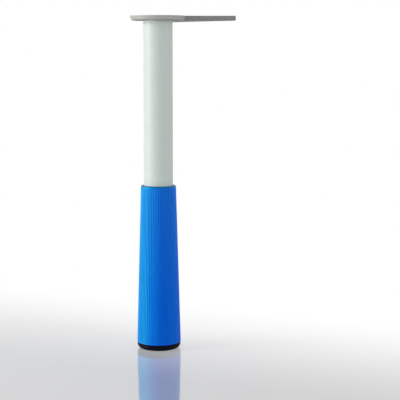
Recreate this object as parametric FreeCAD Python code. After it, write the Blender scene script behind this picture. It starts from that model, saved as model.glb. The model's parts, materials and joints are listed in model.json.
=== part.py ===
import FreeCAD, Part
import math
import os

# Height adjustable table leg, in millimetres.
# The origin is on the leg's axis at the floor, +Z up, and the leg stands at its rest height.
# A round outer tube hangs from a cast corner flange.  An inner tube slides in it, and a long
# ribbed sleeve on the inner tube hides the join and is the grip.  Twisting the sleeve draws a
# cone into a split collet at the inner tube's top, which clamps it in the outer tube's bore.

# Overall height, and how far the leg shortens and extends from it
REST_HEIGHT = 687.0
SHORTEN_TRAVEL = 120.0
EXTEND_TRAVEL = 50.0

# Clearances
RUNNING_FIT = 0.08
SEAT_FIT = 0.05
SWIVEL_GAP = 0.1
FREE_GAP = 0.3

# Outer tube
TUBE_OUTER_RADIUS = 30.0
TUBE_WALL = 2.0

# Corner flange: a round hub over the tube and two arms joined by a web
FLANGE_THICKNESS = 9.5
HUB_TOP_RADIUS = 57.5
HUB_DRAFT = 4.0
HUB_EDGE_RADIUS = 4.5
ARM_REACH = 158.5
ARM_HALF_WIDTH = 9.0
ARM_CORNER_RADIUS = 6.0
ARM_EDGE_RADIUS = 2.5
SPIGOT_LENGTH = 14.0
SCREW_HOLE_RADIUS = 2.75
SCREW_SINK_RADIUS = 5.5
SCREW_SINK_DEPTH = 2.75
HUB_SCREW_CIRCLE_RADIUS = 42.0
HUB_SCREW_COUNT = 4
ARM_SCREW_END_DISTANCE = 21.5
ARM_SCREW_PITCH = 50.0

# Centre bolt that pulls the outer tube up against the flange
BOLT_RADIUS = 5.0
BOLT_LENGTH = 30.0
BOLT_HEAD_RADIUS = 8.0
BOLT_HEAD_HEIGHT = 8.0
BOLT_KEY_FLATS = 8.0
BOLT_KEY_DEPTH = 4.5
BOLT_HOLE_CLEARANCE = 0.5
BOLT_HEAD_SINK = 1.0
BOLT_WASHER_RADIUS = 11.0
BOLT_WASHER_THICKNESS = 2.0
COUNTERBORE_CLEARANCE = 0.5
HEAD_PLATE_THICKNESS = 10.0
HEAD_PLATE_GAP = 0.5

# Inner tube and the plastic bush it slides in
BUSH_WALL = 3.0
BUSH_LENGTH = 40.0
BUSH_LIP = 3.0
BUSH_LIP_SETBACK = 0.2
INNER_TUBE_WALL = 2.0
TUBE_OVERLAP = 140.0

# Foot and its levelling spindle
FOOT_HEIGHT = 13.0
FOOT_SETBACK = 0.5
FOOT_BOTTOM_ROUNDING = 10.0
FOOT_TOP_ROUNDING = 0.8
FOOT_FLOOR = 3.0
LEVEL_TRAVEL = 9.0
SPINDLE_RADIUS = 5.0
SPINDLE_HEAD_RADIUS = 11.5
SPINDLE_HEAD_HEIGHT = 3.0
SPINDLE_HEX_FLATS = 14.0
SPINDLE_HEX_HEIGHT = 6.0
SPINDLE_END_MARGIN = 2.0
RETAINER_SINK = 0.5

# Base hub that joins the inner tube, the sleeve and the spindle nut
HUB_DISC_HEIGHT = 8.0
HUB_SPIGOT_LENGTH = 28.0
HUB_NUT_SEAT_HEIGHT = 12.0
NUT_FLATS = 17.0
NUT_HEIGHT = 8.0
BASE_SCREW_RADIUS = 2.0
BASE_SCREW_LENGTH = 18.0
BASE_SCREW_HEAD_RADIUS = 4.0
BASE_SCREW_HEAD_HEIGHT = 2.2
BASE_SCREW_COUNT = 3

# Ribbed sleeve
SLEEVE_LENGTH = 328.0
SLEEVE_WALL = 3.2
SLEEVE_MOUTH_GAP = 3.0
SLEEVE_FLARE = 9.2
SLEEVE_LIP_HEIGHT = 4.0
SLEEVE_LIP_ROUNDING = 3.0
SLEEVE_BAND_HEIGHT = 2.5
SLEEVE_BAND_ROUNDING = 1.2
RIB_COUNT = 64
RIB_DEPTH = 0.9
RIB_SHOULDER_DEPTH = 0.25
RIB_CREST_SHARE = 0.3
RIB_SHOULDER_SHARE = 0.62
RIB_VALLEY_SHARE = 0.16
BOSS_RADIUS = 4.5
BOSS_HEIGHT = 12.0
BOSS_BITE = 0.8
BOSS_END_MARGIN = 4.0
GUIDE_RING_HEIGHT = 12.0

# Twist clamp at the top of the inner tube
PLUG_LENGTH = 30.0
PLUG_LIP = 6.0
STUD_RADIUS = 8.0
STUD_END_MARGIN = 4.0
ROD_END_ROUNDING = 0.8
NUT_CORNER_ROUNDING = 1.5
STUD_NUT_FLATS = 24.0
STUD_NUT_HEIGHT = 10.0
STUD_WASHER_RADIUS = 14.0
THRUST_WASHER_RADIUS = 22.0
WASHER_THICKNESS = 2.0
COLLET_HEIGHT = 50.0
COLLET_BASE = 6.0
COLLET_WALL_TOP = 5.0
COLLET_WALL_BOTTOM = 13.0
COLLET_SLOT_COUNT = 6
COLLET_SLOT_WIDTH = 3.0
COLLET_SLOT_FLOOR = 4.0
COLLET_GROOVE_COUNT = 5
COLLET_GROOVE_DEPTH = 0.6
COLLET_GROOVE_WIDTH = 2.0
COLLET_GROOVE_PITCH = 5.0
CONE_ENGAGEMENT = 28.0
CONE_STAND = 2.0
CONE_KEY_REACH = 2.0
CONE_KEY_HEIGHT = 20.0
UNLOCK_TRAVEL = 2.0

# Pieces that repeat round the axis start on the flange's line of symmetry
SYMMETRY_ANGLE = 45.0

# Radii that follow from the sizes above
TUBE_BORE_RADIUS = TUBE_OUTER_RADIUS - TUBE_WALL
INNER_TUBE_RADIUS = TUBE_BORE_RADIUS - BUSH_WALL
INNER_BORE_RADIUS = INNER_TUBE_RADIUS - INNER_TUBE_WALL
SLEEVE_TOP_RADIUS = TUBE_OUTER_RADIUS + SLEEVE_MOUTH_GAP + SLEEVE_WALL
SLEEVE_BOTTOM_RADIUS = SLEEVE_TOP_RADIUS + SLEEVE_FLARE
FOOT_RADIUS = SLEEVE_BOTTOM_RADIUS - FOOT_SETBACK
RETAINER_RADIUS = SPINDLE_HEAD_RADIUS + FREE_GAP
COLLET_RADIUS = TUBE_BORE_RADIUS - SEAT_FIT

# Heights that follow, from the floor up
FLANGE_BOTTOM_Z = REST_HEIGHT - FLANGE_THICKNESS
SLEEVE_BOTTOM_Z = FOOT_HEIGHT + FREE_GAP
SLEEVE_TOP_Z = SLEEVE_BOTTOM_Z + SLEEVE_LENGTH
LIP_BOTTOM_Z = SLEEVE_TOP_Z - SLEEVE_LIP_HEIGHT
HUB_TOP_Z = SLEEVE_BOTTOM_Z + HUB_DISC_HEIGHT
NUT_BOTTOM_Z = HUB_TOP_Z + HUB_NUT_SEAT_HEIGHT
SPINDLE_TOP_Z = NUT_BOTTOM_Z + NUT_HEIGHT + LEVEL_TRAVEL + SPINDLE_END_MARGIN
TUBE_BOTTOM_Z = HUB_TOP_Z + BOSS_HEIGHT + BOSS_END_MARGIN + SHORTEN_TRAVEL + BUSH_LIP
INNER_TOP_Z = TUBE_BOTTOM_Z + EXTEND_TRAVEL + TUBE_OVERLAP
PLUG_BOTTOM_Z = INNER_TOP_Z - PLUG_LENGTH
PLUG_TOP_Z = INNER_TOP_Z + PLUG_LIP
COLLET_BOTTOM_Z = PLUG_TOP_Z + WASHER_THICKNESS + SWIVEL_GAP
COLLET_TOP_Z = COLLET_BOTTOM_Z + COLLET_HEIGHT
CONE_TOP_Z = COLLET_TOP_Z + CONE_STAND
STOP_WASHER_Z = CONE_TOP_Z + UNLOCK_TRAVEL + FREE_GAP
STOP_NUT_Z = STOP_WASHER_Z + WASHER_THICKNESS
LOCK_NUT_Z = PLUG_BOTTOM_Z - STUD_NUT_HEIGHT


def axis_point(z):
    return FreeCAD.Vector(0, 0, z)


def cylinder(radius, bottom, top):
    return Part.makeCylinder(radius, top - bottom, axis_point(bottom))


def cone(bottom_radius, top_radius, bottom, top):
    return Part.makeCone(bottom_radius, top_radius, top - bottom, axis_point(bottom))


def ring(outer, bore, bottom, top):
    return cylinder(outer, bottom, top).cut(cylinder(bore, bottom, top))


def hexagon(flats, bottom, top):
    corner = flats / math.sqrt(3)
    points = []
    for side in range(7):
        angle = math.radians(SYMMETRY_ANGLE + 60 * side)
        points.append(FreeCAD.Vector(corner * math.cos(angle), corner * math.sin(angle), bottom))
    face = Part.Face(Part.makePolygon(points))
    return face.extrude(axis_point(top - bottom))


def round_edges(shape, rounding, radius, z):
    """Rounds the circular edges of the given radius that lie at height z."""
    chosen = []
    for edge in shape.Edges:
        if not isinstance(edge.Curve, Part.Circle):
            continue
        same_radius = abs(edge.Curve.Radius - radius) < 1e-6
        same_height = abs(edge.Curve.Center.z - z) < 1e-6
        if same_radius and same_height:
            chosen.append(edge)
    return shape.makeFillet(rounding, chosen)


def spread(shape, count):
    """Copies of a shape, evenly turned about the leg's axis from the symmetry line."""
    copies = []
    for index in range(count):
        copy = shape.copy()
        copy.rotate(axis_point(0), axis_point(1), SYMMETRY_ANGLE + 360.0 * index / count)
        copies.append(copy)
    return copies


def moved(shape, x, y):
    copy = shape.copy()
    copy.translate(FreeCAD.Vector(x, y, 0))
    return copy


def sleeve_outer_radius(z):
    share = (SLEEVE_TOP_Z - z) / SLEEVE_LENGTH
    return SLEEVE_TOP_RADIUS + SLEEVE_FLARE * share


def sleeve_inner_radius(z):
    return sleeve_outer_radius(z) - SLEEVE_WALL


def collet_inner_radius(z):
    cavity_bottom = COLLET_BOTTOM_Z + COLLET_BASE
    share = (z - cavity_bottom) / (COLLET_TOP_Z - cavity_bottom)
    wall = COLLET_WALL_BOTTOM + (COLLET_WALL_TOP - COLLET_WALL_BOTTOM) * share
    return COLLET_RADIUS - wall


def flange_plate():
    """The two arms and the web between them, with rounded tips and lower edges."""
    width = ARM_HALF_WIDTH
    corners = [
        (-width, -width),
        (ARM_REACH, -width),
        (ARM_REACH, width),
        (width, ARM_REACH),
        (-width, ARM_REACH),
        (-width, -width),
    ]
    points = [FreeCAD.Vector(x, y, FLANGE_BOTTOM_Z) for x, y in corners]
    plate = Part.Face(Part.makePolygon(points)).extrude(axis_point(FLANGE_THICKNESS))
    tips = []
    for edge in plate.Edges:
        start = edge.Vertexes[0].Point
        end = edge.Vertexes[-1].Point
        upright = abs(start.x - end.x) < 1e-6 and abs(start.y - end.y) < 1e-6
        at_tip = start.x + start.y > 0
        if upright and at_tip:
            tips.append(edge)
    plate = plate.makeFillet(ARM_CORNER_RADIUS, tips)
    lower = [edge for edge in plate.Edges if edge.BoundBox.ZMax < FLANGE_BOTTOM_Z + 1e-6]
    return plate.makeFillet(ARM_EDGE_RADIUS, lower)


def screw_cut():
    """A countersunk screw hole on the axis, open at the flange's lower face."""
    sink_top = FLANGE_BOTTOM_Z + SCREW_SINK_DEPTH
    hole = cylinder(SCREW_HOLE_RADIUS, FLANGE_BOTTOM_Z, REST_HEIGHT)
    sink = cone(SCREW_SINK_RADIUS, SCREW_HOLE_RADIUS, FLANGE_BOTTOM_Z, sink_top)
    return hole.fuse(sink)


def flange_screw_cuts():
    cut = screw_cut()
    cuts = spread(moved(cut, HUB_SCREW_CIRCLE_RADIUS, 0), HUB_SCREW_COUNT)
    last = ARM_REACH - ARM_SCREW_END_DISTANCE
    for reach in (last - ARM_SCREW_PITCH, last):
        cuts.append(moved(cut, reach, 0))
        cuts.append(moved(cut, 0, reach))
    return cuts


def bolt_seat_z():
    """Height of the counterbore floor in the flange, where the centre bolt's washer lies."""
    return REST_HEIGHT - BOLT_HEAD_SINK - BOLT_HEAD_HEIGHT - BOLT_WASHER_THICKNESS


def make_mounting_flange():
    hub = cone(HUB_TOP_RADIUS - HUB_DRAFT, HUB_TOP_RADIUS, FLANGE_BOTTOM_Z, REST_HEIGHT)
    hub = round_edges(hub, HUB_EDGE_RADIUS, HUB_TOP_RADIUS - HUB_DRAFT, FLANGE_BOTTOM_Z)
    spigot_bottom = FLANGE_BOTTOM_Z - SPIGOT_LENGTH
    spigot = cylinder(TUBE_BORE_RADIUS - SEAT_FIT, spigot_bottom, REST_HEIGHT)
    body = hub.fuse([flange_plate(), spigot]).removeSplitter()
    bolt_hole = cylinder(BOLT_RADIUS + BOLT_HOLE_CLEARANCE, spigot_bottom, REST_HEIGHT)
    counterbore_radius = BOLT_WASHER_RADIUS + COUNTERBORE_CLEARANCE
    counterbore = cylinder(counterbore_radius, bolt_seat_z(), REST_HEIGHT)
    return body.cut([bolt_hole, counterbore] + flange_screw_cuts())


def make_upper_tube():
    return ring(TUBE_OUTER_RADIUS, TUBE_BORE_RADIUS, TUBE_BOTTOM_Z, FLANGE_BOTTOM_Z)


def make_head_plate():
    top = FLANGE_BOTTOM_Z - SPIGOT_LENGTH - HEAD_PLATE_GAP
    bottom = top - HEAD_PLATE_THICKNESS
    return ring(TUBE_BORE_RADIUS - SEAT_FIT, BOLT_RADIUS + SEAT_FIT, bottom, top)


def make_bolt_washer():
    seat = bolt_seat_z()
    bore = BOLT_RADIUS + FREE_GAP
    return ring(BOLT_WASHER_RADIUS, bore, seat, seat + BOLT_WASHER_THICKNESS)


def make_centre_bolt():
    head_bottom = bolt_seat_z() + BOLT_WASHER_THICKNESS
    head_top = head_bottom + BOLT_HEAD_HEIGHT
    shank = cylinder(BOLT_RADIUS, head_bottom - BOLT_LENGTH, head_bottom)
    head = cylinder(BOLT_HEAD_RADIUS, head_bottom, head_top)
    key = hexagon(BOLT_KEY_FLATS, head_top - BOLT_KEY_DEPTH, head_top)
    return shank.fuse(head).removeSplitter().cut(key)


def make_guide_bush():
    lip_bottom = TUBE_BOTTOM_Z - BUSH_LIP
    liner = cylinder(TUBE_BORE_RADIUS - SEAT_FIT, lip_bottom, TUBE_BOTTOM_Z + BUSH_LENGTH)
    lip = cylinder(TUBE_OUTER_RADIUS - BUSH_LIP_SETBACK, lip_bottom, TUBE_BOTTOM_Z)
    bore_radius = INNER_TUBE_RADIUS + RUNNING_FIT
    bore = cylinder(bore_radius, lip_bottom, TUBE_BOTTOM_Z + BUSH_LENGTH)
    return liner.fuse(lip).removeSplitter().cut(bore)


def make_clamp_collet():
    """Split collet: a flat base with a bore, and fingers round a tapered cavity."""
    cavity_bottom = COLLET_BOTTOM_Z + COLLET_BASE
    blank = cylinder(COLLET_RADIUS, COLLET_BOTTOM_Z, COLLET_TOP_Z)
    bore = cylinder(STUD_RADIUS + FREE_GAP, COLLET_BOTTOM_Z, cavity_bottom)
    low_radius = collet_inner_radius(cavity_bottom)
    top_radius = collet_inner_radius(COLLET_TOP_Z)
    cavity = cone(low_radius, top_radius, cavity_bottom, COLLET_TOP_Z)
    slot_bottom = cavity_bottom + COLLET_SLOT_FLOOR
    corner = FreeCAD.Vector(0, -COLLET_SLOT_WIDTH / 2, slot_bottom)
    depth = COLLET_RADIUS + FREE_GAP
    slot = Part.makeBox(depth, COLLET_SLOT_WIDTH, COLLET_TOP_Z - slot_bottom, corner)
    grooves = []
    for index in range(COLLET_GROOVE_COUNT):
        groove_top = COLLET_TOP_Z - COLLET_GROOVE_PITCH * (index + 1)
        groove_bottom = groove_top - COLLET_GROOVE_WIDTH
        floor_radius = COLLET_RADIUS - COLLET_GROOVE_DEPTH
        grooves.append(ring(COLLET_RADIUS + FREE_GAP, floor_radius, groove_bottom, groove_top))
    return blank.cut([bore, cavity] + grooves + spread(slot, COLLET_SLOT_COUNT))


def make_clamp_cone():
    """Cone on the stud, with keys that run in the collet's slots and stop it turning."""
    bottom = COLLET_TOP_Z - CONE_ENGAGEMENT
    low_radius = collet_inner_radius(bottom) - SWIVEL_GAP
    top_radius = collet_inner_radius(CONE_TOP_Z) - SWIVEL_GAP
    body = cone(low_radius, top_radius, bottom, CONE_TOP_Z)
    key_width = COLLET_SLOT_WIDTH - 2 * FREE_GAP
    key_reach = collet_inner_radius(COLLET_TOP_Z) + CONE_KEY_REACH
    key_bottom = COLLET_TOP_Z - CONE_KEY_HEIGHT
    corner = FreeCAD.Vector(0, -key_width / 2, key_bottom)
    key = Part.makeBox(key_reach, key_width, CONE_KEY_HEIGHT, corner)
    body = body.fuse(spread(key, COLLET_SLOT_COUNT)).removeSplitter()
    return body.cut(cylinder(STUD_RADIUS + RUNNING_FIT, bottom, CONE_TOP_Z))


def make_inner_tube():
    return ring(INNER_TUBE_RADIUS, INNER_BORE_RADIUS, HUB_TOP_Z, INNER_TOP_Z)


def make_stud_plug():
    body = cylinder(INNER_BORE_RADIUS - SEAT_FIT, PLUG_BOTTOM_Z, PLUG_TOP_Z)
    lip = cylinder(TUBE_BORE_RADIUS - RUNNING_FIT, INNER_TOP_Z, PLUG_TOP_Z)
    bore = cylinder(STUD_RADIUS + SEAT_FIT, PLUG_BOTTOM_Z, PLUG_TOP_Z)
    return body.fuse(lip).removeSplitter().cut(bore)


def make_clamp_stud():
    bottom = LOCK_NUT_Z - STUD_END_MARGIN
    top = STOP_NUT_Z + STUD_NUT_HEIGHT + STUD_END_MARGIN
    stud = cylinder(STUD_RADIUS, bottom, top)
    stud = round_edges(stud, ROD_END_ROUNDING, STUD_RADIUS, top)
    return round_edges(stud, ROD_END_ROUNDING, STUD_RADIUS, bottom)


def hexagon_nut(flats, bore_radius, bottom, top):
    """Nut blank with rounded corners and a plain bore."""
    corner = flats / math.sqrt(3)
    bound = cylinder(corner, bottom, top)
    bound = round_edges(bound, NUT_CORNER_ROUNDING, corner, top)
    bound = round_edges(bound, NUT_CORNER_ROUNDING, corner, bottom)
    return hexagon(flats, bottom, top).common(bound).cut(cylinder(bore_radius, bottom, top))


def stud_nut(bottom):
    return hexagon_nut(STUD_NUT_FLATS, STUD_RADIUS + SEAT_FIT, bottom, bottom + STUD_NUT_HEIGHT)


def stud_washer(radius, bottom):
    return ring(radius, STUD_RADIUS + SEAT_FIT, bottom, bottom + WASHER_THICKNESS)


def rib_outline(z, radius):
    """Outline of round-shouldered ribs at height z, crests on the given radius."""
    pitch = 2 * math.pi / RIB_COUNT
    start = math.radians(SYMMETRY_ANGLE)
    shoulder = radius - RIB_SHOULDER_DEPTH
    valley = radius - RIB_DEPTH
    corners = [
        (-RIB_SHOULDER_SHARE / 2, shoulder),
        (-RIB_CREST_SHARE / 2, radius),
        (RIB_CREST_SHARE / 2, radius),
        (RIB_SHOULDER_SHARE / 2, shoulder),
        (0.5 - RIB_VALLEY_SHARE / 2, valley),
        (0.5 + RIB_VALLEY_SHARE / 2, valley),
    ]
    points = []
    for rib in range(RIB_COUNT):
        for share, corner_radius in corners:
            angle = start + pitch * (rib + share)
            x = corner_radius * math.cos(angle)
            y = corner_radius * math.sin(angle)
            points.append(FreeCAD.Vector(x, y, z))
    points.append(points[0])
    return Part.makePolygon(points)


def boss_centre_radius():
    """Distance from the axis of the screw bosses that grow from the sleeve's wall."""
    return sleeve_inner_radius(HUB_TOP_Z) + BOSS_BITE - BOSS_RADIUS


def base_screw_tip_z():
    return SLEEVE_BOTTOM_Z + BASE_SCREW_LENGTH


def make_ribbed_sleeve():
    """Tapered shell with full-length ribs, a rounded mouth and screw bosses inside."""
    band_top = SLEEVE_BOTTOM_Z + SLEEVE_BAND_HEIGHT
    band_high = sleeve_outer_radius(band_top)
    lip_low = sleeve_outer_radius(LIP_BOTTOM_Z)
    band = cone(SLEEVE_BOTTOM_RADIUS, band_high, SLEEVE_BOTTOM_Z, band_top)
    band = round_edges(band, SLEEVE_BAND_ROUNDING, SLEEVE_BOTTOM_RADIUS, SLEEVE_BOTTOM_Z)
    outlines = [rib_outline(band_top, band_high)]
    outlines.append(rib_outline(LIP_BOTTOM_Z, lip_low))
    ribs = Part.makeLoft(outlines, True, True)
    lip = cone(lip_low, SLEEVE_TOP_RADIUS, LIP_BOTTOM_Z, SLEEVE_TOP_Z)
    lip = round_edges(lip, SLEEVE_LIP_ROUNDING, SLEEVE_TOP_RADIUS, SLEEVE_TOP_Z)
    hollow_low = sleeve_inner_radius(SLEEVE_BOTTOM_Z)
    hollow_high = sleeve_inner_radius(LIP_BOTTOM_Z)
    hollow = cone(hollow_low, hollow_high, SLEEVE_BOTTOM_Z, LIP_BOTTOM_Z)
    mouth = cylinder(TUBE_OUTER_RADIUS + FREE_GAP, LIP_BOTTOM_Z, SLEEVE_TOP_Z)
    shell = ribs.fuse([band, lip]).cut([hollow, mouth])
    boss_top = HUB_TOP_Z + BOSS_HEIGHT
    boss = moved(cylinder(BOSS_RADIUS, HUB_TOP_Z, boss_top), boss_centre_radius(), 0)
    pilot = cylinder(BASE_SCREW_RADIUS + SEAT_FIT, HUB_TOP_Z, base_screw_tip_z() + FREE_GAP)
    pilot = moved(pilot, boss_centre_radius(), 0)
    shell = shell.fuse(spread(boss, BASE_SCREW_COUNT))
    return shell.cut(spread(pilot, BASE_SCREW_COUNT))


def make_sleeve_guide_ring():
    top = LIP_BOTTOM_Z - SEAT_FIT
    bottom = top - GUIDE_RING_HEIGHT
    low_radius = sleeve_inner_radius(bottom) - SEAT_FIT
    high_radius = sleeve_inner_radius(top) - SEAT_FIT
    blank = cone(low_radius, high_radius, bottom, top)
    return blank.cut(cylinder(TUBE_OUTER_RADIUS + RUNNING_FIT, bottom, top))


def make_base_hub():
    """Disc that closes the sleeve, with a spigot up into the inner tube."""
    disc_low = sleeve_inner_radius(SLEEVE_BOTTOM_Z) - SEAT_FIT
    disc_high = sleeve_inner_radius(HUB_TOP_Z) - SEAT_FIT
    disc = cone(disc_low, disc_high, SLEEVE_BOTTOM_Z, HUB_TOP_Z)
    spigot_top = HUB_TOP_Z + HUB_SPIGOT_LENGTH
    spigot = cylinder(INNER_BORE_RADIUS - SEAT_FIT, HUB_TOP_Z, spigot_top)
    bore = cylinder(SPINDLE_RADIUS + FREE_GAP, SLEEVE_BOTTOM_Z, spigot_top)
    nut_pocket = hexagon(NUT_FLATS + 2 * SEAT_FIT, NUT_BOTTOM_Z, spigot_top)
    collar_top = SLEEVE_BOTTOM_Z + SPINDLE_HEX_HEIGHT + 2 * FREE_GAP
    collar_radius = SPINDLE_HEX_FLATS / math.sqrt(3) + FREE_GAP
    collar_pocket = cylinder(collar_radius, SLEEVE_BOTTOM_Z, collar_top)
    screw = screw_shape(BASE_SCREW_RADIUS + FREE_GAP, BASE_SCREW_HEAD_RADIUS + FREE_GAP, HUB_TOP_Z)
    cuts = [bore, nut_pocket, collar_pocket]
    return disc.fuse(spigot).cut(cuts + spread(screw, BASE_SCREW_COUNT))


def screw_shape(shank_radius, head_radius, tip_z):
    """Countersunk screw form standing on the sleeve's lower plane, at a boss's place."""
    head_top = SLEEVE_BOTTOM_Z + BASE_SCREW_HEAD_HEIGHT
    head = cone(head_radius, shank_radius, SLEEVE_BOTTOM_Z, head_top)
    shank = cylinder(shank_radius, SLEEVE_BOTTOM_Z, tip_z)
    return moved(head.fuse(shank).removeSplitter(), boss_centre_radius(), 0)


def make_base_screws():
    screw = screw_shape(BASE_SCREW_RADIUS, BASE_SCREW_HEAD_RADIUS, base_screw_tip_z())
    return Part.makeCompound(spread(screw, BASE_SCREW_COUNT))


def make_spindle_nut():
    bore_radius = SPINDLE_RADIUS + RUNNING_FIT
    return hexagon_nut(NUT_FLATS, bore_radius, NUT_BOTTOM_Z, NUT_BOTTOM_Z + NUT_HEIGHT)


def make_glide_foot():
    body = cylinder(FOOT_RADIUS, 0, FOOT_HEIGHT)
    body = round_edges(body, FOOT_BOTTOM_ROUNDING, FOOT_RADIUS, 0)
    body = round_edges(body, FOOT_TOP_ROUNDING, FOOT_RADIUS, FOOT_HEIGHT)
    return body.cut(cylinder(RETAINER_RADIUS, FOOT_FLOOR, FOOT_HEIGHT))


def spindle_head_z():
    return FOOT_FLOOR + SWIVEL_GAP


def make_glide_retainer():
    """Ring pressed into the foot over the spindle's head."""
    bottom = spindle_head_z() + SPINDLE_HEAD_HEIGHT + SWIVEL_GAP
    top = FOOT_HEIGHT - RETAINER_SINK
    return ring(RETAINER_RADIUS - SEAT_FIT, SPINDLE_RADIUS + FREE_GAP, bottom, top)


def make_level_spindle():
    head_bottom = spindle_head_z()
    head = cylinder(SPINDLE_HEAD_RADIUS, head_bottom, head_bottom + SPINDLE_HEAD_HEIGHT)
    shank = cylinder(SPINDLE_RADIUS, head_bottom, SPINDLE_TOP_Z)
    shank = round_edges(shank, ROD_END_ROUNDING, SPINDLE_RADIUS, SPINDLE_TOP_Z)
    collar_top = SLEEVE_BOTTOM_Z + SPINDLE_HEX_HEIGHT
    collar = hexagon(SPINDLE_HEX_FLATS, SLEEVE_BOTTOM_Z, collar_top)
    return shank.fuse([head, collar]).removeSplitter()


PIECES = {
    "mounting_flange": make_mounting_flange(),
    "upper_tube": make_upper_tube(),
    "head_plate": make_head_plate(),
    "bolt_washer": make_bolt_washer(),
    "centre_bolt": make_centre_bolt(),
    "guide_bush": make_guide_bush(),
    "clamp_collet": make_clamp_collet(),
    "clamp_cone": make_clamp_cone(),
    "inner_tube": make_inner_tube(),
    "stud_plug": make_stud_plug(),
    "clamp_stud": make_clamp_stud(),
    "stud_lock_nut": stud_nut(LOCK_NUT_Z),
    "thrust_washer": stud_washer(THRUST_WASHER_RADIUS, PLUG_TOP_Z),
    "stop_washer": stud_washer(STUD_WASHER_RADIUS, STOP_WASHER_Z),
    "stop_nut": stud_nut(STOP_NUT_Z),
    "ribbed_sleeve": make_ribbed_sleeve(),
    "sleeve_guide_ring": make_sleeve_guide_ring(),
    "base_hub": make_base_hub(),
    "base_screws": make_base_screws(),
    "spindle_nut": make_spindle_nut(),
    "glide_foot": make_glide_foot(),
    "glide_retainer": make_glide_retainer(),
    "level_spindle": make_level_spindle(),
}

os.makedirs("parts", exist_ok=True)
for node, shape in PIECES.items():
    shape.exportStep("parts/" + node + ".step")
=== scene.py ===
import json
import math

import bmesh
import bpy
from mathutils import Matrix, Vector


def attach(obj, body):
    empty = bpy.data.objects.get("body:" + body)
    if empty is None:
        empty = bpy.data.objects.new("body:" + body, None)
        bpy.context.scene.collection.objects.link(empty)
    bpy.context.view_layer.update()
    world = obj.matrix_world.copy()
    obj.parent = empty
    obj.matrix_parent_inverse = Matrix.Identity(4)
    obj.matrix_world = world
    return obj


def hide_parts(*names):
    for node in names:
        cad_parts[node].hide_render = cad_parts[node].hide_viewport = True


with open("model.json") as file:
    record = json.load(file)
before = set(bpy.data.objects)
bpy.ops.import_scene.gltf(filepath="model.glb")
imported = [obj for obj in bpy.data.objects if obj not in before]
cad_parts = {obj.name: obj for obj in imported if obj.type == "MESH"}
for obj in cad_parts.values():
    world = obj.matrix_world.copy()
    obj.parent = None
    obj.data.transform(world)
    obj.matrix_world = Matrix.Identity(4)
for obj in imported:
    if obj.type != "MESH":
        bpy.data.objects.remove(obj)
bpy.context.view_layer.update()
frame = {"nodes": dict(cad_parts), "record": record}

# Camera: place in metres, pitch in degrees below the horizon, lens and sensor in millimetres
CAMERA_PLACE = (0.0857, -2.509, 0.610)
CAMERA_PITCH = 6.81
CAMERA_LENS = 110.0
SENSOR_WIDTH = 36.0

# Floor, in metres: it fades to white behind the leg, sooner on the right by the slant, and again far off
FLOOR_SIZE = 30.0
FLOOR_FADE_START = -0.30
FLOOR_FADE_END = 0.50
FLOOR_FADE_SLANT = 0.50
FLOOR_EDGE_START = 0.85
FLOOR_EDGE_END = 1.9

# Floor finish: a share of clear mirror over the satin floor
FLOOR_ROUGHNESS = 0.16
FLOOR_SPECULAR = 0.2
FLOOR_MIRROR_ROUGHNESS = 0.03
FLOOR_POLISH = 0.3

# Colours, linear
WHITE = (1.0, 1.0, 1.0, 1.0)
AMBIENT_COLOUR = (0.97, 0.985, 1.0, 1.0)
FLOOR_COLOUR = (0.80, 0.80, 0.805, 1.0)
FLOOR_MIRROR_COLOUR = (0.95, 0.95, 0.96, 1.0)
TUBE_COLOUR = (0.69, 0.77, 0.715, 1.0)
BLUE_COLOUR = (0.004, 0.028, 0.98, 1.0)
# Painted light: the sleeve's blue is painted paler, towards cyan, on its -X side where the key lamp falls
BLUE_PAINTED_LIGHT_COLOUR = (0.004, 0.25, 0.98, 1.0)
# Painted light: a pale cyan cast painted over the blue towards the sleeve's mouth
BLUE_MOUTH_PAINTED_LIGHT_COLOUR = (0.28, 1.0, 1.0, 1.0)
BLUE_GLOSS_COLOUR = (0.0, 1.0, 1.0, 1.0)
# Painted shade: the grooves between the sleeve's ribs are painted darker
BLUE_GROOVE_SHADE_COLOUR = (0.0, 0.02, 0.20, 1.0)
# Painted shade: a dark band is painted round the rim of the sleeve's mouth
BLUE_RIM_SHADE_COLOUR = (0.0, 0.01, 0.22, 1.0)
# Painted shade and painted light on the flange: its arms and undersides are painted darker, its hub lighter
CAST_SHADE_COLOUR = (0.262, 0.255, 0.255, 1.0)
HUB_LIGHT_COLOUR = (0.505, 0.485, 0.45, 1.0)
BLACK_COLOUR = (0.003, 0.0025, 0.009, 1.0)
WHITE_PLASTIC_COLOUR = (0.62, 0.62, 0.59, 1.0)
ZINC_COLOUR = (0.56, 0.57, 0.58, 1.0)
STEEL_COLOUR = (0.48, 0.48, 0.49, 1.0)
ALUMINIUM_COLOUR = (0.60, 0.61, 0.62, 1.0)

# Light from all round, weaker from straight above: the fall runs over the height of the ray's direction
AMBIENT_STRENGTH = 0.62
ZENITH_SHARE = 0.25
ZENITH_FALL_START = 0.3
ZENITH_FALL_END = 0.85

# Lamps: places and sizes in metres, powers in watts
LAMP_TARGET = (0.0, 0.0, 0.35)
KEY_PLACE = (-2.6, -0.55, 1.0)
KEY_SIZE = (1.2, 1.8)
KEY_POWER = 44.0
FILL_PLACE = (2.2, -2.2, 1.0)
FILL_SIZE = (1.2, 1.2)
FILL_POWER = 15.0

# Most of the noise lies between these values
NOISE_LOW = 0.3
NOISE_HIGH = 0.7

# Sleeve, in metres: height and radius over the ribs at both ends, and where painted light and painted shade
# change its blue
SLEEVE_BOTTOM = (0.0133, 0.0454)
SLEEVE_TOP = (0.3413, 0.0362)
SLEEVE_GLOSS_IOR = 1.75
# Painted light: where along X the sleeve's -X side is painted paler, and by what share
PAINTED_LIGHT_NEAR_SPAN = (0.006, -0.004)
PAINTED_LIGHT_NEAR_SHARE = 0.26
PAINTED_LIGHT_FAR_SPAN = (-0.013, -0.032)
PAINTED_LIGHT_FAR_SHARE = 0.74
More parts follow.
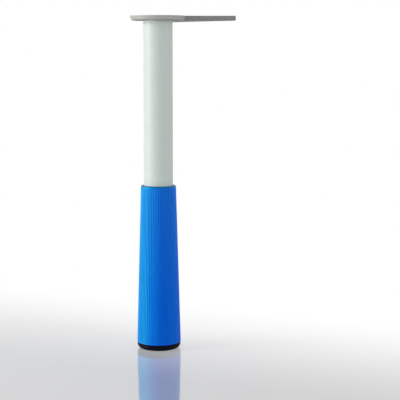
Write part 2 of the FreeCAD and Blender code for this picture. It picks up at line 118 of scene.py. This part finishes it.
# Painted light: from this height up to the top, the blue is painted paler by up to this share
MOUTH_LIGHT_BOTTOM = 0.11
MOUTH_LIGHT_SHARE = 0.044
RIB_DEPTH = 0.0009
# Painted shade: the grooves are painted darker from the first depth to the second, by up to GROOVE_SHADE
GROOVE_START = 0.2 * RIB_DEPTH
GROOVE_END = 0.8 * RIB_DEPTH
GROOVE_SHADE = 0.95
# Painted shade on the rim: it fades in from the first depth under the top and is full from the second
RIM_SHADE_FADE_HEIGHT = 0.0040
RIM_SHADE_FULL_HEIGHT = 0.0016

# Flange hub, in metres: height and radius of its rim, just outside it, and the pitch of its turning marks
# Painted light: inside this rim the hub's top and sides are painted lighter than the shaded arms
HUB_BOTTOM = (0.6775, 0.0538)
HUB_TOP = (0.687, 0.0578)
TURNING_PITCH = 0.0016
# Upward part of a face's normal: painted shade below the first value, painted light on the hub above the
# second
UNDERSIDE_START = -0.9
UNDERSIDE_END = -0.6

# Levelling spindle, in metres: radius and height pairs of its head, then its neck, collar and thread
SPINDLE_HEAD_PROFILE = (
    (0.0, 0.0031), (0.0109, 0.0031), (0.0115, 0.0037), (0.0115, 0.0055), (0.0109, 0.0061), (0.0050, 0.0061),
)
SPINDLE_NECK_TOP = 0.0133
COLLAR_TOP = 0.0193
COLLAR_SIDES = 6
COLLAR_FLATS = 0.014
COLLAR_CHAMFER = 0.0007
COLLAR_TURN = 45
THREAD_RADIUS = 0.0050
THREAD_DEPTH = 0.00092
THREAD_PITCH = 0.0015
THREAD_TOP = 0.0523
THREAD_STEPS = 32
# Thread's profile over one pitch: share of the pitch, and depth under the crest
THREAD_FORM = ((0.0, THREAD_DEPTH), (0.15, THREAD_DEPTH), (0.5, 0.0), (0.65, 0.0))
MERGE_DISTANCE = 1e-6


class Surface:
    """A Principled material with helpers that add procedural detail in object space."""

    def __init__(self, name, colour, roughness, metallic=0.0, specular=0.5):
        self.material = bpy.data.materials.new(name)
        self.material.use_nodes = True
        self.tree = self.material.node_tree
        self.nodes = self.tree.nodes
        self.links = self.tree.links
        self.shader = self.nodes["Principled BSDF"]
        self.colour = colour
        self.roughness = roughness
        self.shader.inputs["Base Color"].default_value = colour
        self.shader.inputs["Roughness"].default_value = roughness
        self.shader.inputs["Metallic"].default_value = metallic
        self.shader.inputs["Specular IOR Level"].default_value = specular
        self.place = self.nodes.new("ShaderNodeTexCoord").outputs["Object"]
        self.normal = None

    def noise(self, scale, detail=4.0, stretch=None):
        """Noise of that many cells per metre, closer together along an axis whose stretch is above 1."""
        source = self.place
        if stretch:
            mapping = self.nodes.new("ShaderNodeMapping")
            mapping.inputs["Scale"].default_value = stretch
            self.links.new(source, mapping.inputs["Vector"])
            source = mapping.outputs["Vector"]
        node = self.nodes.new("ShaderNodeTexNoise")
        node.inputs["Scale"].default_value = scale
        node.inputs["Detail"].default_value = detail
        self.links.new(source, node.inputs["Vector"])
        return node.outputs["Fac"]

    def rings(self, pitch):
        """Turning marks: fine waves round the leg's axis. Blender spaces them at pi / (10 * scale)."""
        node = self.nodes.new("ShaderNodeTexWave")
        node.wave_type = "RINGS"
        node.rings_direction = "Z"
        node.inputs["Scale"].default_value = math.pi / (10.0 * pitch)
        self.links.new(self.place, node.inputs["Vector"])
        return node.outputs["Fac"]

    def coordinate(self, axis):
        """One coordinate of the surface's points."""
        return self.part_of(self.place, axis)

    def part_of(self, vector, axis):
        """One component of a vector."""
        split = self.nodes.new("ShaderNodeSeparateXYZ")
        self.links.new(vector, split.inputs["Vector"])
        return split.outputs[axis]

    def axis_distance(self):
        """Distance from the leg's axis."""
        flat = self.nodes.new("ShaderNodeCombineXYZ")
        length = self.nodes.new("ShaderNodeVectorMath")
        length.operation = "LENGTH"
        self.links.new(self.coordinate("X"), flat.inputs["X"])
        self.links.new(self.coordinate("Y"), flat.inputs["Y"])
        self.links.new(flat.outputs["Vector"], length.inputs[0])
        return length.outputs["Value"]

    def between(self, value, low, high, start=0.0, end=1.0, smooth=False):
        """Clamped line, or smooth step, from start at low to end at high."""
        span = self.nodes.new("ShaderNodeMapRange")
        if smooth:
            span.interpolation_type = "SMOOTHSTEP"
        span.inputs["From Min"].default_value = low
        span.inputs["From Max"].default_value = high
        span.inputs["To Min"].default_value = start
        span.inputs["To Max"].default_value = end
        self.links.new(value, span.inputs["Value"])
        return span.outputs["Result"]

    def combine(self, operation, first, second):
        """Result of a Math node for two values."""
        node = self.nodes.new("ShaderNodeMath")
        node.operation = operation
        self.links.new(first, node.inputs[0])
        self.links.new(second, node.inputs[1])
        return node.outputs["Value"]

    def vary_colour(self, factor, amount):
        """Lightens and darkens the base colour by the given share."""
        ramp = self.nodes.new("ShaderNodeValToRGB")
        low = [channel * (1 - amount) for channel in self.colour[:3]] + [1.0]
        high = [min(1.0, channel * (1 + amount)) for channel in self.colour[:3]] + [1.0]
        ramp.color_ramp.elements[0].position = NOISE_LOW
        ramp.color_ramp.elements[1].position = NOISE_HIGH
        ramp.color_ramp.elements[0].color = low
        ramp.color_ramp.elements[1].color = high
        self.links.new(factor, ramp.inputs["Fac"])
        self.links.new(ramp.outputs["Color"], self.shader.inputs["Base Color"])

    def blend_colour(self, mask, colour):
        """Mixes another colour over the base colour that vary_colour or an earlier blend gave."""
        node = self.nodes.new("ShaderNodeMix")
        node.data_type = "RGBA"
        base = self.shader.inputs["Base Color"]
        self.links.new(base.links[0].from_socket, node.inputs["A"])
        node.inputs["B"].default_value = colour
        self.links.new(mask, node.inputs["Factor"])
        self.links.new(node.outputs["Result"], base)

    def vary_roughness(self, factor, amount):
        """Moves the roughness up and down by the given amount."""
        low = self.roughness - amount
        high = self.roughness + amount
        varied = self.between(factor, NOISE_LOW, NOISE_HIGH, low, high)
        self.links.new(varied, self.shader.inputs["Roughness"])

    def bump(self, factor, height, strength):
        """Adds relief of the given height in metres to what there is so far."""
        node = self.nodes.new("ShaderNodeBump")
        node.inputs["Strength"].default_value = strength
        node.inputs["Distance"].default_value = height
        self.links.new(factor, node.inputs["Height"])
        if self.normal:
            self.links.new(self.normal, node.inputs["Normal"])
        self.normal = node.outputs["Normal"]
        self.links.new(self.normal, self.shader.inputs["Normal"])


def mix_shaders(tree, share, first, second):
    """Mixes the second shader over the first, by a number or by a node's value."""
    node = tree.nodes.new("ShaderNodeMixShader")
    if isinstance(share, float):
        node.inputs["Fac"].default_value = share
    else:
        tree.links.new(share, node.inputs["Fac"])
    tree.links.new(first, node.inputs[1])
    tree.links.new(second, node.inputs[2])
    return node.outputs["Shader"]


def powder_coat(name, colour, roughness):
    """Baked powder paint: a faint orange peel and a trace of colour drift."""
    paint = Surface(name, colour, roughness)
    paint.vary_colour(paint.noise(scale=60.0), amount=0.015)
    paint.vary_roughness(paint.noise(scale=240.0), amount=0.03)
    paint.bump(paint.noise(scale=550.0, detail=2.0), height=0.00014, strength=0.5)
    return paint.material


def moulded_plastic(name, colour, roughness, specular):
    """Moulded plastic with a fine spark-eroded grain."""
    plastic = Surface(name, colour, roughness, specular=specular)
    plastic.vary_colour(plastic.noise(scale=90.0), amount=0.04)
    plastic.vary_roughness(plastic.noise(scale=500.0), amount=0.05)
    plastic.bump(plastic.noise(scale=2200.0, detail=3.0), height=0.00006, strength=0.5)
    return plastic.material


def ribbed_plastic(name, colour, roughness):
    """Glossy moulded plastic with painted light on its -X side and towards its mouth, and painted shade in
    its grooves and on its rim.
    """
    plastic = Surface(name, colour, roughness, specular=1.0)
    plastic.shader.inputs["Specular Tint"].default_value = BLUE_GLOSS_COLOUR
    plastic.shader.inputs["IOR"].default_value = SLEEVE_GLOSS_IOR
    plastic.vary_colour(plastic.noise(scale=90.0), amount=0.03)
    # Painted light: the -X side is painted paler, towards cyan, where the key lamp falls
    side = plastic.coordinate("X")
    near = plastic.between(side, *PAINTED_LIGHT_NEAR_SPAN, end=PAINTED_LIGHT_NEAR_SHARE)
    far = plastic.between(side, *PAINTED_LIGHT_FAR_SPAN, end=PAINTED_LIGHT_FAR_SHARE)
    plastic.blend_colour(plastic.combine("ADD", near, far), BLUE_PAINTED_LIGHT_COLOUR)
    bottom, bottom_radius = SLEEVE_BOTTOM
    top, top_radius = SLEEVE_TOP
    height = plastic.coordinate("Z")
    # Painted light: paler towards the mouth
    mouth_painted_light = plastic.between(height, MOUTH_LIGHT_BOTTOM, top, end=MOUTH_LIGHT_SHARE)
    plastic.blend_colour(mouth_painted_light, BLUE_MOUTH_PAINTED_LIGHT_COLOUR)
    # Painted shade in the grooves between the ribs, darker the deeper under the crest line
    crest = plastic.between(height, bottom, top, bottom_radius, top_radius)
    depth = plastic.combine("SUBTRACT", crest, plastic.axis_distance())
    painted_groove_shade = plastic.between(depth, GROOVE_START, GROOVE_END, end=GROOVE_SHADE)
    plastic.blend_colour(painted_groove_shade, BLUE_GROOVE_SHADE_COLOUR)
    # Painted shade on the rim round the mouth
    rim = plastic.between(height, top - RIM_SHADE_FADE_HEIGHT, top - RIM_SHADE_FULL_HEIGHT)
    plastic.blend_colour(rim, BLUE_RIM_SHADE_COLOUR)
    plastic.vary_roughness(plastic.noise(scale=500.0), amount=0.05)
    plastic.bump(plastic.noise(scale=2200.0, detail=3.0), height=0.00004, strength=0.5)
    return plastic.material


def cast_metal(name, colour, roughness):
    """Die casting with a slightly wavy, pitted skin, painted shade on its arms and undersides, and painted
    light and turning marks on its hub.
    """
    metal = Surface(name, colour, roughness, metallic=0.15)
    metal.vary_colour(metal.noise(scale=110.0), amount=0.06)
    bottom, bottom_radius = HUB_BOTTOM
    top, top_radius = HUB_TOP
    # Painted light on the hub, inside its rim and not facing down; the arms and undersides keep the darker
    # painted shade
    edge = metal.between(metal.coordinate("Z"), bottom, top, bottom_radius, top_radius)
    inside = metal.combine("LESS_THAN", metal.axis_distance(), edge)
    geometry = metal.nodes.new("ShaderNodeNewGeometry")
    facing = metal.part_of(geometry.outputs["Normal"], "Z")
    not_under = metal.between(facing, UNDERSIDE_START, UNDERSIDE_END)
    turned = metal.combine("MULTIPLY", inside, not_under)
    metal.blend_colour(turned, HUB_LIGHT_COLOUR)
    marks = metal.combine("MULTIPLY", turned, metal.rings(TURNING_PITCH))
    metal.bump(marks, height=0.00012, strength=0.8)
    metal.vary_roughness(metal.noise(scale=260.0), amount=0.06)
    metal.bump(metal.noise(scale=120.0, detail=2.0), height=0.00025, strength=0.4)
    metal.bump(metal.noise(scale=1400.0, detail=2.0), height=0.00008, strength=0.5)
    return metal.material


def plated_metal(name, colour, roughness):
    """Plated steel or cast alloy: crystalline mottling, no direction."""
    metal = Surface(name, colour, roughness, metallic=1.0)
    metal.vary_colour(metal.noise(scale=320.0, detail=6.0), amount=0.10)
    metal.vary_roughness(metal.noise(scale=500.0), amount=0.08)
    metal.bump(metal.noise(scale=1500.0), height=0.00003, strength=0.4)
    return metal.material


def drawn_metal(name, colour, roughness):
    """Drawn tube or turned stock: fine lines along the leg."""
    metal = Surface(name, colour, roughness, metallic=1.0)
    lines = metal.noise(scale=90.0, detail=6.0, stretch=(12.0, 12.0, 0.25))
    metal.vary_colour(lines, amount=0.08)
    metal.vary_roughness(lines, amount=0.07)
    metal.bump(lines, height=0.00004, strength=0.5)
    return metal.material


def dress_cad_nodes():
    """Gives each CAD node the finish that its material slot names, and returns the finishes."""
    finishes = {
        "cast_grey": cast_metal("cast_grey_finish", CAST_SHADE_COLOUR, roughness=0.45),
        "tube_paint": powder_coat("tube_paint_finish", TUBE_COLOUR, roughness=0.42),
        "blue_plastic": ribbed_plastic("blue_plastic_finish", BLUE_COLOUR, roughness=0.42),
        "black_plastic": moulded_plastic(
            "black_plastic_finish", BLACK_COLOUR, roughness=0.42, specular=0.08),
        "white_plastic": moulded_plastic(
            "white_plastic_finish", WHITE_PLASTIC_COLOUR, roughness=0.45, specular=0.5),
        "zinc_steel": plated_metal("zinc_steel_finish", ZINC_COLOUR, roughness=0.32),
        "bare_steel": drawn_metal("bare_steel_finish", STEEL_COLOUR, roughness=0.30),
        "die_cast": plated_metal("die_cast_finish", ALUMINIUM_COLOUR, roughness=0.40),
    }
    for entry in frame["record"]["subparts"]:
        node = frame["nodes"][entry["node"]]
        node.data.materials.clear()
        node.data.materials.append(finishes[entry["material_slot"]])
    return finishes


def add_point(mesh, radius, height, angle):
    """A vertex at a distance and an angle round the leg's axis."""
    return mesh.verts.new((radius * math.cos(angle), radius * math.sin(angle), height))


def join_rows(mesh, rows, closed):
    """Quads between each row and the next, also from a row's last point to its first where it is closed."""
    for low, high in zip(rows, rows[1:]):
        count = len(low)
        for step in range(count if closed else count - 1):
            after = (step + 1) % count
            mesh.faces.new((low[step], low[after], high[after], high[step]))


def lathe(mesh, profile, angles):
    """Turns radius and height pairs round the leg's axis, and returns the rows of points."""
    rows = [[add_point(mesh, radius, height, angle) for angle in angles] for radius, height in profile]
    join_rows(mesh, rows, closed=True)
    return rows


def spindle_head(mesh):
    """The round head in the foot, and the neck up to the collar."""
    angles = [math.tau * step / THREAD_STEPS for step in range(THREAD_STEPS)]
    lathe(mesh, SPINDLE_HEAD_PROFILE + ((THREAD_RADIUS, SPINDLE_NECK_TOP),), angles)


def hexagonal_collar(mesh):
    """Collar for a spanner, its corners chamfered at both ends."""
    corner = COLLAR_FLATS / math.sqrt(3)
    profile = (
        (corner - COLLAR_CHAMFER, SPINDLE_NECK_TOP),
        (corner, SPINDLE_NECK_TOP + COLLAR_CHAMFER),
        (corner, COLLAR_TOP - COLLAR_CHAMFER),
        (corner - COLLAR_CHAMFER, COLLAR_TOP),
    )
    angles = [math.radians(COLLAR_TURN + 360 // COLLAR_SIDES * side) for side in range(COLLAR_SIDES)]
    rows = lathe(mesh, profile, angles)
    mesh.faces.new(list(reversed(rows[0])))
    mesh.faces.new(rows[-1])


def screw_thread(mesh):
    """Helical thread: crest and root rows that climb one pitch in each turn."""
    turns = int((THREAD_TOP - COLLAR_TOP) / THREAD_PITCH) + 2
    rows = []
    for turn in range(turns):
        for share, depth in THREAD_FORM:
            row = []
            for step in range(THREAD_STEPS + 1):
                climb = turn + share + step / THREAD_STEPS - 1.0
                height = COLLAR_TOP + THREAD_PITCH * climb
                run_out = min(1.0, max(0.0, (THREAD_TOP - height) / THREAD_PITCH))
                radius = THREAD_RADIUS - THREAD_DEPTH + (THREAD_DEPTH - depth) * run_out
                height = min(THREAD_TOP, max(COLLAR_TOP, height))
                row.append(add_point(mesh, radius, height, math.tau * step / THREAD_STEPS))
            rows.append(row)
    join_rows(mesh, rows, closed=False)
    tip = mesh.verts.new((0.0, 0.0, THREAD_TOP))
    for here, after in zip(rows[-1], rows[-1][1:]):
        mesh.faces.new((here, after, tip))


def make_level_spindle(material):
    """The levelling spindle with its thread cut, in place of the plain one."""
    mesh = bmesh.new()
    spindle_head(mesh)
    hexagonal_collar(mesh)
    screw_thread(mesh)
    bmesh.ops.remove_doubles(mesh, verts=mesh.verts, dist=MERGE_DISTANCE)
    bmesh.ops.recalc_face_normals(mesh, faces=mesh.faces)
    data = bpy.data.meshes.new("threaded_spindle")
    mesh.to_mesh(data)
    mesh.free()
    data.materials.append(material)
    spindle = bpy.data.objects.new("threaded_spindle", data)
    bpy.context.scene.collection.objects.link(spindle)
    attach(spindle, "spindle")
    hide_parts("level_spindle")


def make_floor():
    """Pale glossy floor under the foot that fades to white behind the leg, to its right and far off."""
    bpy.ops.mesh.primitive_plane_add(size=FLOOR_SIZE, location=(0, 0, 0))
    floor = bpy.context.object
    floor.name = "floor"
    surface = Surface("floor_finish", FLOOR_COLOUR, FLOOR_ROUGHNESS, specular=FLOOR_SPECULAR)
    surface.vary_roughness(surface.noise(scale=3.0), amount=0.02)
    nodes = surface.nodes
    # The floor follows the foot, and its fade keeps its place in the room
    surface.place = nodes.new("ShaderNodeNewGeometry").outputs["Position"]
    slant = nodes.new("ShaderNodeMath")
    slant.operation = "MULTIPLY_ADD"
    slant.inputs[1].default_value = FLOOR_FADE_SLANT
    surface.links.new(surface.coordinate("X"), slant.inputs[0])
    surface.links.new(surface.coordinate("Y"), slant.inputs[2])
    behind = surface.between(slant.outputs["Value"], FLOOR_FADE_START, FLOOR_FADE_END, smooth=True)
    far_off = surface.between(surface.axis_distance(), FLOOR_EDGE_START, FLOOR_EDGE_END)
    white = surface.combine("MAXIMUM", behind, far_off)
    path = nodes.new("ShaderNodeLightPath")
    seen = surface.combine("MULTIPLY", white, path.outputs["Is Camera Ray"])
    mirror = nodes.new("ShaderNodeBsdfGlossy")
    mirror.inputs["Color"].default_value = FLOOR_MIRROR_COLOUR
    mirror.inputs["Roughness"].default_value = FLOOR_MIRROR_ROUGHNESS
    glow = nodes.new("ShaderNodeEmission")
    glow.inputs["Color"].default_value = WHITE
    satin = surface.shader.outputs["BSDF"]
    polished = mix_shaders(surface.tree, FLOOR_POLISH, satin, mirror.outputs["BSDF"])
    faded = mix_shaders(surface.tree, seen, polished, glow.outputs["Emission"])
    surface.links.new(faded, nodes["Material Output"].inputs["Surface"])
    floor.data.materials.append(surface.material)
    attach(floor, "glide")


def make_world():
    """White to the camera and to mirror rays, a soft grey light to the rest."""
    world = bpy.data.worlds.new("studio")
    bpy.context.scene.world = world
    world.use_nodes = True
    nodes = world.node_tree.nodes
    links = world.node_tree.links
    ambient = nodes["Background"]
    ambient.inputs["Color"].default_value = AMBIENT_COLOUR
    direction = nodes.new("ShaderNodeTexCoord")
    split = nodes.new("ShaderNodeSeparateXYZ")
    links.new(direction.outputs["Generated"], split.inputs["Vector"])
    dome = nodes.new("ShaderNodeMapRange")
    dome.inputs["From Min"].default_value = ZENITH_FALL_START
    dome.inputs["From Max"].default_value = ZENITH_FALL_END
    dome.inputs["To Min"].default_value = AMBIENT_STRENGTH
    dome.inputs["To Max"].default_value = AMBIENT_STRENGTH * ZENITH_SHARE
    links.new(split.outputs["Z"], dome.inputs["Value"])
    links.new(dome.outputs["Result"], ambient.inputs["Strength"])
    backdrop = nodes.new("ShaderNodeBackground")
    backdrop.inputs["Color"].default_value = WHITE
    backdrop.inputs["Strength"].default_value = 1.0
    path = nodes.new("ShaderNodeLightPath")
    shown = nodes.new("ShaderNodeMath")
    shown.operation = "MAXIMUM"
    links.new(path.outputs["Is Camera Ray"], shown.inputs[0])
    links.new(path.outputs["Is Glossy Ray"], shown.inputs[1])
    first = ambient.outputs["Background"]
    second = backdrop.outputs["Background"]
    mixed = mix_shaders(world.node_tree, shown.outputs["Value"], first, second)
    links.new(mixed, nodes["World Output"].inputs["Surface"])


def make_lamp(name, place, size, power, mirrored):
    """An area lamp that looks at the leg, hidden from the camera and, unless mirrored, from reflections."""
    data = bpy.data.lights.new(name, "AREA")
    data.shape = "RECTANGLE"
    data.size = size[0]
    data.size_y = size[1]
    data.energy = power
    lamp = bpy.data.objects.new(name, data)
    bpy.context.scene.collection.objects.link(lamp)
    lamp.location = place
    aim = [there - here for there, here in zip(LAMP_TARGET, place)]
    lamp.rotation_euler = Vector(aim).to_track_quat("-Z", "Y").to_euler()
    lamp.visible_camera = False
    lamp.visible_glossy = mirrored


def make_camera():
    """The photograph's point of view."""
    data = bpy.data.cameras.new("camera")
    data.sensor_width = SENSOR_WIDTH
    data.lens = CAMERA_LENS
    camera = bpy.data.objects.new("camera", data)
    bpy.context.scene.collection.objects.link(camera)
    camera.location = CAMERA_PLACE
    camera.rotation_euler = (math.radians(90.0 - CAMERA_PITCH), 0.0, 0.0)
    bpy.context.scene.camera = camera


finishes = dress_cad_nodes()
make_level_spindle(finishes["zinc_steel"])
make_floor()
make_world()
make_lamp("key", KEY_PLACE, KEY_SIZE, KEY_POWER, mirrored=True)
make_lamp("fill", FILL_PLACE, FILL_SIZE, FILL_POWER, mirrored=False)
make_camera()
bpy.context.scene.view_settings.view_transform = "Standard"
